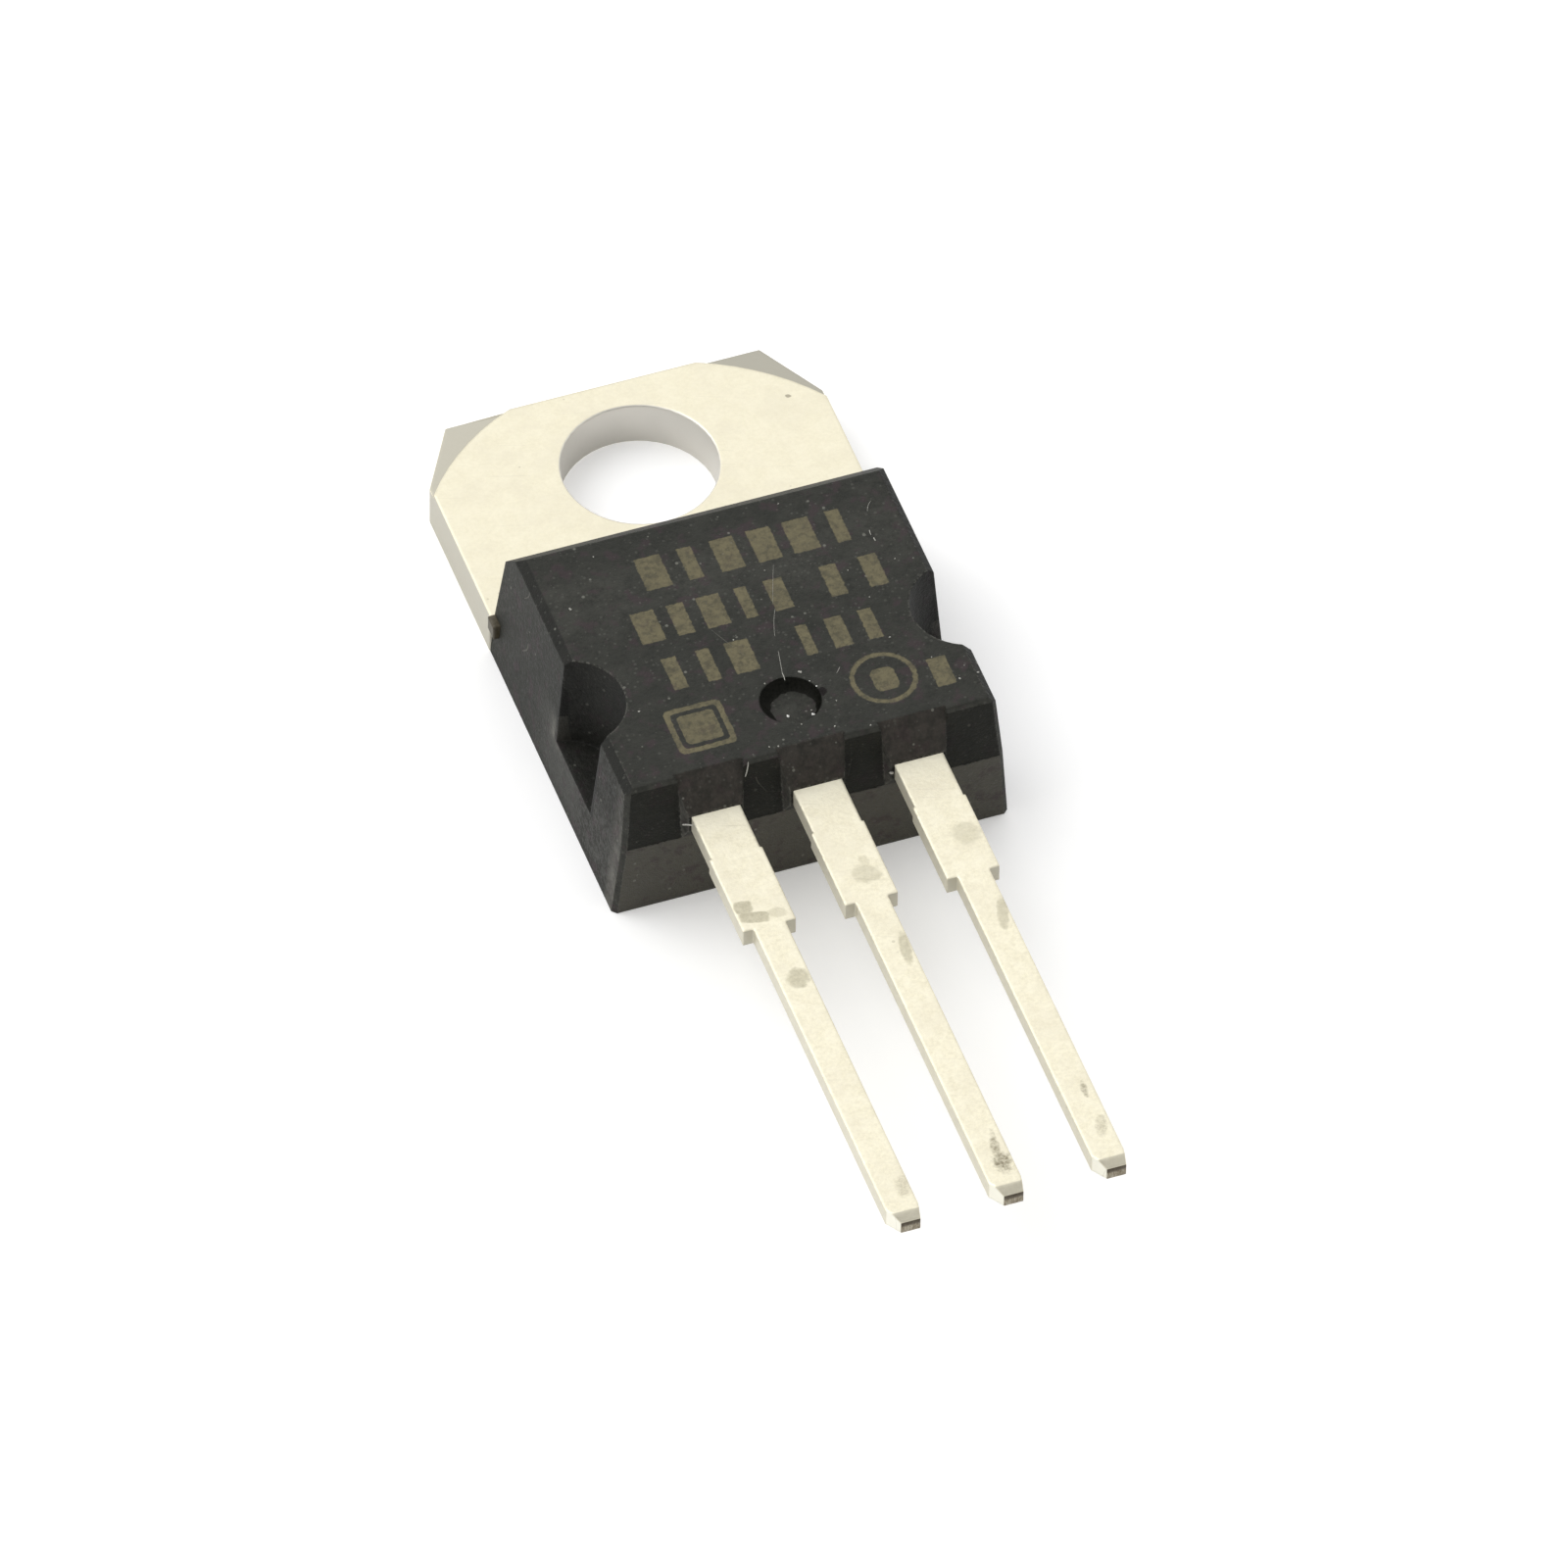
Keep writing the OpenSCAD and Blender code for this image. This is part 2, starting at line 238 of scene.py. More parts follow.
def make_scratches():
    """Scratches: stretched cells; a share of them holds a thin straight line through the cell's point."""
    tree, take, give = new_group(
        "scratches", [("Position", "Vector", None), ("Turn", "Float", 0.0), ("Length", "Float", 0.002),
                      ("Spacing", "Float", 0.0005), ("Share", "Float", 0.2), ("Width", "Float", 0.03)],
        [("Mask", "Float")])
    turned = put(tree, "VectorRotate", {"Vector": take["Position"], "Angle": take["Turn"]},
                 rotation_type="Z_AXIS").outputs[0]
    size = put(tree, "CombineXYZ", {0: take["Length"], 1: take["Spacing"], 2: take["Spacing"]}).outputs[0]
    cell = reckon_vector(tree, "DIVIDE", turned, size)
    wander = put(tree, "TexNoise", {"Vector": cell, "Scale": 0.7, "Detail": 0.0}).outputs["Color"]
    cell = reckon_vector(tree, "ADD", cell, reckon_vector(tree, "MULTIPLY", wander, (0.0, 0.9, 0.9)))
    points = put(tree, "TexVoronoi", {"Vector": cell, "Scale": 1.0})
    off = parts_of(tree, reckon_vector(tree, "SUBTRACT", cell, points.outputs["Position"]))
    chance = put(tree, "SeparateColor", {0: points.outputs["Color"]}).outputs[0]
    kept = reckon(tree, "LESS_THAN", chance, take["Share"])
    line = spread(tree, size_of(tree, off[Y]), 0.0, take["Width"], 1.0, 0.0)
    faded = spread(tree, size_of(tree, off[X]), 0.1, 0.45, 1.0, 0.0)
    tree.links.new(times(tree, line, faded, kept), give["Mask"])
    return tree


def make_soft_edges():
    """Soft edges: normals rounded over a small radius, and a mask of how far they lean from the face."""
    tree, take, give = new_group(
        "soft edges", [("Position", "Vector", None), ("Radius", "Float", 0.00004),
                       ("Wear Size", "Float", 0.0003)], [("Normal", "Vector"), ("Mask", "Float")])
    rounded = put(tree, "Bevel", {"Radius": take["Radius"]}, samples=6).outputs[0]
    face = tree.nodes.new("ShaderNodeNewGeometry").outputs["True Normal"]
    dot = put(tree, "VectorMath", {0: rounded, 1: face}, operation="DOT_PRODUCT").outputs["Value"]
    lean = spread(tree, outside(tree, dot), 0.01, 0.16)
    scale = reckon(tree, "DIVIDE", 1.0, take["Wear Size"])
    noise = put(tree, "TexNoise", {"Vector": take["Position"], "Scale": scale, "Detail": 3.0}).outputs["Fac"]
    worn = times(tree, lean, spread(tree, noise, 0.35, 0.65))
    tree.links.new(rounded, give["Normal"])
    tree.links.new(worn, give["Mask"])
    return tree


def make_spot():
    """Spot: an upright ellipse or box round a centre, in plan, with an edge made ragged by noise.

    Corner 2 gives an ellipse and a higher power squares it off: (|x|/a)^n + (|y|/b)^n against 1.
    """
    tree, take, give = new_group(
        "spot", [("Position", "Vector", None), ("Centre", "Vector", (0, 0, 0)),
                 ("Half Size", "Vector", (1, 1, 1)), ("Turn", "Float", 0.0), ("Corner", "Float", 2.0),
                 ("Ragged", "Float", 0.3), ("Grain Size", "Float", 0.0002), ("Softness", "Float", 0.2)],
        [("Mask", "Float")])
    off = reckon_vector(tree, "SUBTRACT", take["Position"], take["Centre"])
    turned = put(tree, "VectorRotate", {"Vector": off, "Angle": take["Turn"]},
                 rotation_type="Z_AXIS").outputs[0]
    scaled = parts_of(tree, reckon_vector(tree, "DIVIDE", turned, take["Half Size"]))
    power = [reckon(tree, "POWER", size_of(tree, scaled[i]), take["Corner"]) for i in (X, Y)]
    scale = reckon(tree, "DIVIDE", 1.0, take["Grain Size"])
    noise = put(tree, "TexNoise", {"Vector": take["Position"], "Scale": scale, "Detail": 2.0}).outputs["Fac"]
    wander = times(tree, reckon(tree, "SUBTRACT", noise, 0.5), times(tree, take["Ragged"], 3.0))
    size = reckon(tree, "ADD", reckon(tree, "ADD", power[0], power[1]), wander)
    low = reckon(tree, "SUBTRACT", 1.0, take["Softness"])
    high = reckon(tree, "ADD", 1.0, take["Softness"])
    tree.links.new(spread(tree, size, low, high, 1.0, 0.0), give["Mask"])
    return tree


def make_bar_row():
    """Row of bars: the row is cut into equal cells, and each holds one plain block of its own width."""
    tree, take, give = new_group(
        "bar row", [("Position", "Vector", None), ("Centre", "Vector", (0, 0, 0)), ("Pitch", "Float", 0.0008),
                    ("Count", "Float", 6.0), ("Height", "Float", 0.001)], [("Mask", "Float")])
    off = parts_of(tree, reckon_vector(tree, "SUBTRACT", take["Position"], take["Centre"]))
    half = times(tree, take["Count"], 0.5)
    step = reckon(tree, "ADD", reckon(tree, "DIVIDE", off[X], take["Pitch"]), half)
    cell = reckon(tree, "FLOOR", step)
    inside = times(tree, reckon(tree, "GREATER_THAN", step, 0.0),
                   reckon(tree, "LESS_THAN", step, take["Count"]))
    seed = put(tree, "CombineXYZ", {0: cell, 1: take["Pitch"], 2: take["Count"]}).outputs[0]
    chance = put(tree, "TexWhiteNoise", {"Vector": seed}).outputs["Value"]
    width = between(tree, chance, 0.17, 0.36)
    across = size_of(tree, reckon(tree, "SUBTRACT", reckon(tree, "SUBTRACT", step, cell), 0.5))
    upright = size_of(tree, reckon(tree, "DIVIDE", off[Y], take["Height"]))
    mask = times(tree, spread(tree, reckon(tree, "SUBTRACT", across, width), -0.02, 0.02, 1.0, 0.0),
                 spread(tree, upright, 0.47, 0.5, 1.0, 0.0), inside)
    tree.links.new(mask, give["Mask"])
    return tree


GRAIN = make_grain()
PATCHES = make_patches()
SPECKS = make_specks()
SCRATCHES = make_scratches()
SOFT_EDGES = make_soft_edges()
SPOT = make_spot()
BAR_ROW = make_bar_row()


# ---------------------------------------------------------------- materials
def new_material(name, **values):
    """A material with one Principled shader; values that are the same all over go on its own sockets."""
    material = bpy.data.materials.new(name)
    material.use_nodes = True
    tree = material.node_tree
    shader = tree.nodes["Principled BSDF"]
    for label, value in values.items():
        shader.inputs[label.replace("_", " ")].default_value = value
    position = tree.nodes.new("ShaderNodeTexCoord").outputs["Object"]
    return material, tree, shader, position


def dress(tree, shader, bump, **looks):
    """Links the looks that change over the surface, and a bump given as its node's inputs."""
    for label, value in looks.items():
        tree.links.new(value, shader.inputs[label.replace("_", " ")])
    tree.links.new(put(tree, "Bump", bump).outputs[0], shader.inputs["Normal"])


def grain_at(tree, position, size):
    """Grain of a size in millimetres."""
    return effect(tree, GRAIN, Position=position, Size=size * MM)["Grain"]


def speckled(tree, position, spacing, share, radius):
    """Specks that lie a spacing in millimetres apart."""
    return effect(tree, SPECKS, Position=position, Spacing=spacing * MM, Share=share, Radius=radius)["Mask"]


def spot(tree, position, centre, half_size, grain=0.2, **outline):
    """One spot, with its centre, half size and the grain of its ragged edge in millimetres."""
    return effect(tree, SPOT, Position=position, Centre=at(*centre), Half_Size=at(*half_size, 1),
                  Grain_Size=grain * MM, **outline)["Mask"]


def facing(tree):
    """The three parts of the way that a face looks."""
    return parts_of(tree, tree.nodes.new("ShaderNodeNewGeometry").outputs["True Normal"])


def laser_marks(tree, position, worn):
    """Rows of plain blocks, a ring and a square, pitted and uneven as a laser leaves them."""
    shaken = put(tree, "TexNoise", {"Vector": position, "Scale": 11000.0, "Detail": 2.0}).outputs["Color"]
    shaken = reckon_vector(tree, "SUBTRACT", shaken, (0.5, 0.5, 0.5))
    shaken = reckon_vector(tree, "MULTIPLY", shaken, at(0.07, 0.07))
    shaken = reckon_vector(tree, "ADD", position, shaken)

    # Rows of blocks: (centre, length of a cell, number of cells, height).
    rows = [((0.6, -5.83), 0.93, 6, 1.08), ((-0.78, -7.44), 0.82, 5, 1.04), ((2.74, -7.44), 1.0, 2, 1.04),
            ((-1.46, -9.03), 0.84, 3, 1.06), ((1.8, -9.03), 0.8, 3, 1.0), ((3.68, -11.0), 0.7, 1, 0.95)]
    marks = [effect(tree, BAR_ROW, Position=shaken, Centre=at(*centre), Pitch=pitch * MM,
                    Count=float(count), Height=height * MM)["Mask"] for centre, pitch, count, height in rows]

    # A ring round a small block, and a frame round a square.
    disc, hollow = (spot(tree, shaken, (2.32, -10.76), (radius, radius), Ragged=0.0, Softness=0.06)
                    for radius in (0.81, 0.69))
    block = spot(tree, shaken, (2.33, -10.8), (0.3, 0.36), Corner=4.0, Ragged=0.0, Softness=0.2)
    frame_outer, frame_inner, square = (
        spot(tree, shaken, (-2.3, -10.82), (half, half), Corner=10.0, Ragged=0.0, Softness=0.2)
        for half in (0.72, 0.58, 0.46))
    marks += [reckon(tree, "SUBTRACT", disc, hollow, clamp=True), block,
              reckon(tree, "SUBTRACT", frame_outer, frame_inner, clamp=True), times(tree, square, 0.9)]

    pitted = effect(tree, PATCHES, Position=position, Size=0.13 * MM, Share=0.42, Softness=0.1)["Mask"]
    return times(tree, most(tree, *marks), between(tree, pitted, 1.0, 0.6), between(tree, worn, 0.7, 1.1))


def notch_mask(tree, position):
    """White in the two side notches: inside a circle round each notch's centre, and over its floor."""
    place = parts_of(tree, position)
    from_side = reckon(tree, "SUBTRACT", NOTCH[X] * MM, size_of(tree, place[X]))
    along = reckon(tree, "SUBTRACT", place[Y], NOTCH[Y] * MM)
    away = put(tree, "VectorMath", {0: put(tree, "CombineXYZ", {0: from_side, 1: along}).outputs[0]},
               operation="LENGTH").outputs["Value"]
    return times(tree, spread(tree, away, (NOTCH_R - 0.03) * MM, NOTCH_R * MM, 1.0, 0.0),
                 band(tree, position, Z, NOTCH_FLOOR - 0.01, TOP_Z - 0.04, 0.015))


def dimple_mask(tree, position):
    """White on the dimple's wall and on the ring round the pin's print, which are painted dark as shade."""
    dimple = spot(tree, position, DIMPLE, (0.775, 0.775), Ragged=0.0, Softness=0.03)
    dimple = times(tree, dimple, band(tree, position, Z, 3.7, 4.085, 0.01))
    pin_face = spot(tree, position, PIN_FACE, (0.57, 0.57), 0.15, Ragged=0.2, Softness=0.25)
    return reckon(tree, "SUBTRACT", dimple, times(tree, pin_face, 0.9), clamp=True)


def side_tones(tree, position, sides, worn, grain):
    """Tones on the side walls: a broad paler patch under the notch, paler bands by the front corner, stronger
    toward the bottom, and behind the notch, and dark blotches in front.
    """
    pale_patch = spot(tree, position, (-5, -9.6), (2, 2.6), 0.6, Ragged=0.35, Softness=0.7)
    pale_patch = times(tree, pale_patch, sides, band(tree, position, Z, 0.2, 2.1, 0.3))
    corner_band = times(tree, band(tree, position, Y, -13.0, -11.8, 0.25),
                       spread(tree, parts_of(tree, position)[Z], 4.0 * MM, 0.4 * MM, 0.4, 0.8))
    notch_band = times(tree, band(tree, position, Y, -8.2, -7.5, 0.25), band(tree, position, Z, 1.3, 1.95, 0.25))
    pale_bands = times(tree, most(tree, corner_band, notch_band), sides,
                      times(tree, between(tree, worn, 0.2, 1.0), between(tree, grain, 0.7, 1.15)))
    blotched = times(tree, sides, spread(tree, grain_at(tree, position, 0.22), 0.35, 0.65),
                     band(tree, position, Y, -13.2, -9.6, 0.5))
    return pale_patch, pale_bands, blotched


def rubbed_rims(tree, position, edges, notch):
    """Pale worn rims toward the front, but none in the notches, round the dimple or on the front's brow."""
    round_dimple = spot(tree, position, DIMPLE, (0.85, 0.85), Ragged=0.0, Softness=0.05)
    brow = times(tree, band(tree, position, Y, -12.9, -12.0, 0.05), band(tree, position, Z, 3.3, 4.3, 0.05))
    return times(tree, edges["Mask"], band(tree, position, Y, -14.0, -7.6, 0.5),
                 outside(tree, most(tree, notch, round_dimple, times(tree, brow, 0.75))))


def moulding_compound():
    """Charcoal epoxy: mineral grain, pale specks, faint purple patches, worn edges and laser marks; shade is
    painted into the notches, the dimple, the upper front wall and the strips along the top's side edges, and
    light is painted onto the lower front wall.
    """
    material, tree, shader, position = new_material("moulding_compound", Specular_IOR_Level=0.16)
    grain, worn, mottle, cloud = (grain_at(tree, position, size) for size in (0.11, 0.3, 0.5, 1.3))
    purple = effect(tree, PATCHES, Position=position, Size=0.45 * MM, Share=0.32, Softness=0.06)["Mask"]
    granules = speckled(tree, position, 0.13, 0.55, 0.42)
    specks = speckled(tree, position, 0.3, 0.4, 0.19)
    glints = speckled(tree, position, 0.8, 0.22, 0.05)
    scratches = effect(tree, SCRATCHES, Position=position, Turn=1.1, Length=2.4 * MM, Spacing=0.7 * MM,
                       Share=0.1, Width=0.022)["Mask"]
    edges = effect(tree, SOFT_EDGES, Position=position, Radius=0.09 * MM, Wear_Size=0.07 * MM)

    # Which face of the moulding a point is on, from its height and the way the face looks.
    lean = facing(tree)
    top = band(tree, position, Z, TOP_Z - 0.04, TOP_Z + 0.2, 0.02)
    sides = spread(tree, size_of(tree, lean[X]), 0.9, 0.97)
    front = spread(tree, lean[Y], -0.9, -0.97, 0.0, 1.0)
    # Painted reflection: the front wall above the parting line is painted dark, and the wall below it is
    # painted pale, for what each of them reflects.
    painted_shade_upper_front = times(tree, front, band(tree, position, Z, PARTING_Z, 4.5, 0.02))
    painted_light_lower_front = times(tree, front, band(tree, position, Z, -1.0, PARTING_Z, 0.02))
    noses = times(tree, spread(tree, size_of(tree, reckon(tree, "SUBTRACT", lean[Z], NOSE_LEAN)), 0.04, 0.08,
                               1.0, 0.0), band(tree, position, Y, -13.0, -11.5, 0.02))
    # Painted shade: the rounded strips along the top's side edges are painted nearly black, for the dark that
    # they reflect.
    soft_lean = parts_of(tree, edges["Normal"])
    painted_shade_strips = times(tree, spread(tree, size_of(tree, soft_lean[X]), 0.2, 0.6),
                        spread(tree, soft_lean[Z], 0.2, 0.5))
    notch = notch_mask(tree, position)
    dimple = dimple_mask(tree, position)
    # Painted shade: the notches and the dimple are painted nearly black, for the shade in these hollows.
    painted_hollow_shade = most(tree, times(tree, notch, 0.68), dimple)

    # Marks, wear and tones on those faces.
    burn = times(tree, laser_marks(tree, position, worn), top)
    chip = times(tree, spot(tree, position, (0.79, -10.7), (0.12, 0.13), 0.08, Turn=0.3, Ragged=0.6,
                            Softness=0.25), top)
    scratches = times(tree, scratches, outside(tree, most(tree, notch, dimple)))
    pale_patch, pale_bands, blotched = side_tones(tree, position, sides, worn, grain)
    rims = rubbed_rims(tree, position, edges, notch)
    far_and_near = times(tree, outside(tree, band(tree, position, Y, -7.3, -5.4, 0.7)), top)
    dusty = outside(tree, most(tree, times(tree, painted_hollow_shade, 0.9), times(tree, painted_shade_upper_front, 0.7)))

    colour = coat(tree, lay_over(tree, grain, shade(36, 37, 33), shade(59, 59, 54)), [
        (mottle, 0.65, shade(66, 66, 61)),
        (cloud, 0.4, shade(38, 40, 36)),
        (far_and_near, 0.3, shade(28, 30, 26)),
        (sides, 0.4, shade(36, 37, 34)),
        # Paler tones on the side walls: a broad patch under the notch, and bands by the front corner and behind
        # the notch.
        (pale_patch, 0.3, shade(92, 92, 88)),
        (blotched, 0.6, shade(27, 25, 21)),
        (pale_bands, 0.6, shade(132, 129, 121)),
        # Painted light on the lower front wall.
        (painted_light_lower_front, 0.8, shade(84, 82, 75)),
        (purple, 0.5, shade(62, 49, 54)),
        # Painted shade on the upper front wall.
        (painted_shade_upper_front, 0.75, shade(21, 22, 17)),
        (noses, 0.6, lay_over(tree, worn, shade(40, 37, 33), shade(68, 61, 57))),
        # Painted shade on the strips along the top's side edges.
        (painted_shade_strips, 0.7, shade(15, 16, 13)),
        # Painted shade in the notches and the dimple.
        (painted_hollow_shade, 0.92, shade(4, 4, 2)),
        (times(tree, granules, dusty), 0.3, shade(92, 92, 86)),
        (times(tree, specks, dusty), 0.6, shade(122, 122, 114)),
        (times(tree, glints, dusty), 1.0, shade(205, 205, 195)),
        (scratches, 0.5, shade(120, 118, 110)),
        (chip, 0.95, shade(10, 4, 3)),
        (rims, 0.85, shade(112, 111, 104)),
        (burn, 1.0, shade(107, 101, 79)),
    ])
    rough = turned_to(tree, between(tree, grain, 0.5, 0.68), (notch, 0.52), (dimple, 0.45), (burn, 0.8))
    relief = summed(tree, (grain, 1.0), (mottle, 0.8), (granules, 0.7), (scratches, -0.8), (burn, -0.6))
    relief = times(tree, relief, between(tree, dimple, 1.0, 0.5))
    dress(tree, shader, {"Strength": 0.7, "Distance": 0.014 * MM, "Height": relief, "Normal": edges["Normal"]},
          Base_Color=colour, Roughness=rough)
    return material


def stains_and_smudges(tree, position, upper):
    """Grey stains where the plating is thin, and darker smudges toward the tips, on the leads' upper faces."""
    blotchy = grain_at(tree, position, 0.15)
    # Stains: (centre, half size, turn, power of the outline, strength).
    stains = [((-2.95, -15.72), (0.22, 0.19), 0.1, 4.0, 1.0), ((-2.8, -16.1), (0.35, 0.17), 0.25, 4.0, 1.0),
              ((-2.24, -16.12), (0.22, 0.15), 0.2, 2.0, 0.5), ((-2.45, -18.21), (0.26, 0.31), 0.4, 2.0, 0.9),
              ((0.15, -15.66), (0.34, 0.28), 0.3, 2.0, 0.6), ((0.23, -15.28), (0.13, 0.2), 0.0, 2.0, 0.38),
              ((0.23, -18.16), (0.13, 0.5), 0.12, 2.0, 0.85), ((2.8, -15.22), (0.36, 0.34), 0.2, 2.0, 0.55),
              ((2.76, -17.87), (0.13, 0.5), 0.25, 2.0, 0.75)]
    stained = most(tree, *[
        times(tree, strength, spot(tree, position, centre, half, 0.16, Turn=turn, Corner=corner, Ragged=0.45,
                                   Softness=0.5)) for centre, half, turn, corner, strength in stains])
    # Smudges: (centre, half size, turn, strength).
    smudges = [((-2.3, -25.05), (0.16, 0.3), 0.2, 0.5), ((0.12, -24.65), (0.1, 0.45), 0.15, 1.0),
               ((0.13, -25.12), (0.2, 0.3), 0.0, 1.15), ((2.7, -23.6), (0.07, 0.25), 0.1, 0.9),
               ((2.69, -24.8), (0.12, 0.3), 0.3, 0.5)]
    smudged = most(tree, *[
        times(tree, strength, spot(tree, position, centre, half, 0.12, Turn=turn, Ragged=1.0, Softness=0.9))
        for centre, half, turn, strength in smudges])
    return (times(tree, stained, upper, between(tree, blotchy, 0.65, 1.0)),
            times(tree, smudged, upper, between(tree, blotchy, 0.3, 1.0)))


def tinned_copper():
    """Satin tin plating: cream with a fine mottle, greyer where sheared or pressed, and a few stains; light is
    painted onto the leads' roots and onto the tips' tapered faces.
    """
    material, tree, shader, position = new_material("tinned_copper")
    on_plate = band(tree, position, Y, -5.0, 5.0, 0.1)
    grain = reckon(tree, "SUBTRACT", grain_at(tree, position, 0.09), 0.5)
    grain = reckon(tree, "ADD", 0.5, times(tree, grain, between(tree, on_plate, 0.7, 0.3)))
    mottle = times(tree, grain_at(tree, position, 0.4), between(tree, on_plate, 1.0, 0.6))
    dull = effect(tree, PATCHES, Position=position, Size=1.1 * MM, Share=0.4, Softness=0.12)["Mask"]
    pits = speckled(tree, position, 0.35, 0.12, 0.16)
    scratches = effect(tree, SCRATCHES, Position=position, Turn=0.3, Length=1.6 * MM, Spacing=0.35 * MM,
                       Share=0.18, Width=0.03)["Mask"]
    edges = effect(tree, SOFT_EDGES, Position=position, Radius=0.1 * MM, Wear_Size=0.2 * MM)
    upper = band(tree, position, Z, LEAD_TOP - 0.04, 3.3, 0.02)
    stained, smudged = stains_and_smudges(tree, position, upper)
    nick = spot(tree, position, (4.11, 0.95), (0.07, 0.05), 0.08, Turn=0.4, Ragged=0.6, Softness=0.5)
    # Painted light: the leads' upper faces next to the moulding are painted paler, against the shade that the
    # moulding casts on them.
    painted_light_roots = times(tree, band(tree, position, Y, -13.1, -12.4, 0.45), upper)

    # Where the frame was cut free, the copper shows brown through torn plating.
    tip = band(tree, position, Y, TIP_Y - 0.5, TIP_Y + 0.01, 0.003)
    burnt = times(tree, tip, band(tree, position, Z, 2.88, 3.2, 0.05))
    stub = reckon(tree, "SUBTRACT", band(tree, position, Y, -3.95, -3.47, 0.02),
                  band(tree, position, X, -4.8, 4.8, 0.01), clamp=True)
    smear = grain_at(tree, reckon_vector(tree, "MULTIPLY", position, (1.0, 1.0, 0.35)), 0.07)
    torn = times(tree, most(tree, tip, stub), between(tree, smear, 0.55, 1.0))

    # Sheared faces are greyer than plated ones: shoulders, tips' slopes, the bore and all upright sides but the
    # tips' tapered faces, which keep the plating and are painted near-white as highlight.
    lean = facing(tree)
    shoulders = times(tree, spread(tree, size_of(tree, lean[Y]), 0.9, 0.99),
                      band(tree, position, Y, -17.0, -16.0, 0.02))
    bevelled = times(tree, band(tree, position, Y, TIP_Y + 0.015, TIP_Y + 0.23, 0.02),
                     spread(tree, lean[Z], 0.6, 0.9, 0.0, 1.0))
    from_axis = put(tree, "VectorMath", {0: reckon_vector(tree, "MULTIPLY", position, (1.0, 1.0, 0.0))},
                    operation="LENGTH").outputs["Value"]
    bore = spread(tree, reckon(tree, "DIVIDE", from_axis, MM), BORE_R - 0.03, BORE_R, 1.0, 0.0)
    upright = spread(tree, size_of(tree, lean[Z]), 0.3, 0.5, 1.0, 0.0)
    # Painted highlight: the tips' tapered upright faces are painted near-white.
    painted_light_tip_faces = times(tree, band(tree, position, Y, TIP_Y + 0.01, TIP_Y + 0.36, 0.03), upright)
    sheared = times(tree, reckon(tree, "SUBTRACT", upright, painted_light_tip_faces), between(tree, on_plate, 0.45, 1.0))

    # The pressed flats at the tab's corners lie a little lower and are duller, the right one most.
    pressed = times(tree, band(tree, position, Z, 1.1, 1.2, 0.02), spread(tree, lean[Z], 0.8, 0.95))
    right_flat = times(tree, pressed, band(tree, position, X, 0.0, 9.0, 0.1))

    colour = coat(tree, lay_over(tree, grain, shade(222, 215, 190), shade(246, 240, 216)), [
        (mottle, 0.5, shade(249, 244, 224)),
        (dull, 0.35, shade(226, 219, 198)),
        (sheared, 0.85, shade(194, 191, 180)),
        (painted_light_tip_faces, 0.9, shade(255, 253, 240)),
        (pits, 0.4, shade(176, 168, 146)),
        (scratches, 0.3, shade(200, 194, 178)),
        (pressed, 0.85, shade(188, 185, 174)),
        (right_flat, 0.6, shade(168, 165, 154)),
        (bore, 0.9, shade(229, 226, 219)),
        (stained, 0.85, shade(176, 170, 146)),
        (smudged, 0.85, shade(132, 124, 102)),
        # Painted light at the leads' roots.
        (painted_light_roots, 0.6, shade(253, 248, 226)),
        (shoulders, 0.85, shade(192, 188, 172)),
        (bevelled, 0.7, shade(200, 195, 178)),
        (edges["Mask"], 0.4, shade(206, 199, 178)),
        (nick, 0.6, shade(120, 112, 96)),
        (torn, 1.0, shade(112, 97, 70)),
        (burnt, 0.85, shade(58, 48, 32)),
        (stub, 0.9, shade(54, 46, 26)),
    ])
    metal = turned_to(tree, 0.85, (torn, 0.45), (stub, 0.1), (stained, 0.55), (painted_light_roots, 0.45),
                      (reckon(tree, "SUBTRACT", sheared, on_plate, clamp=True), 0.0))
    rough = turned_to(tree, between(tree, grain, 0.34, 0.5), (most(tree, stained, smudged, pressed), 0.6))
    relief = summed(tree, (grain, 1.0), (mottle, 1.2), (pits, -1.2), (scratches, -0.6))
    relief = times(tree, relief, between(tree, on_plate, 0.65, 0.4))
    relief = reckon(tree, "SUBTRACT", relief, times(tree, torn, smear))
    dress(tree, shader, {"Strength": 0.45, "Distance": 0.01 * MM, "Height": relief, "Normal": edges["Normal"]},
          Base_Color=colour, Metallic=metal, Roughness=rough)
    return material


def inner_metal(name, dark, light, grain_size, metallic, rough):
    """A plain metal or semiconductor with brushed grain, for the pieces inside the moulding."""
    material, tree, shader, position = new_material(name, Metallic=metallic)
    grain = grain_at(tree, position, grain_size)
    lines = effect(tree, SCRATCHES, Position=position, Turn=0.7, Length=0.8 * MM, Spacing=0.1 * MM,
                   Share=0.5, Width=0.08)["Mask"]
    edges = effect(tree, SOFT_EDGES, Position=position, Radius=0.02 * MM, Wear_Size=0.1 * MM)
    colour = coat(tree, lay_over(tree, grain, dark, light), [(lines, 0.3, dark), (edges["Mask"], 0.4, light)])
    dress(tree, shader, {"Strength": 0.4, "Distance": 0.005 * MM, "Height": grain, "Normal": edges["Normal"]},
          Base_Color=colour, Roughness=between(tree, grain, rough, rough + 0.15))
    return material


def pale_finish(name, dark, light, rough):
    """Pale fibre, dust or mineral flake: a faint mottle between two tones on a soft rough surface."""
    material, tree, shader, position = new_material(name, Roughness=rough)
    grain = grain_at(tree, position, 0.03)
    dress(tree, shader, {"Strength": 0.5, "Distance": 0.004 * MM, "Height": grain},
          Base_Color=lay_over(tree, grain, dark, light))
    return material


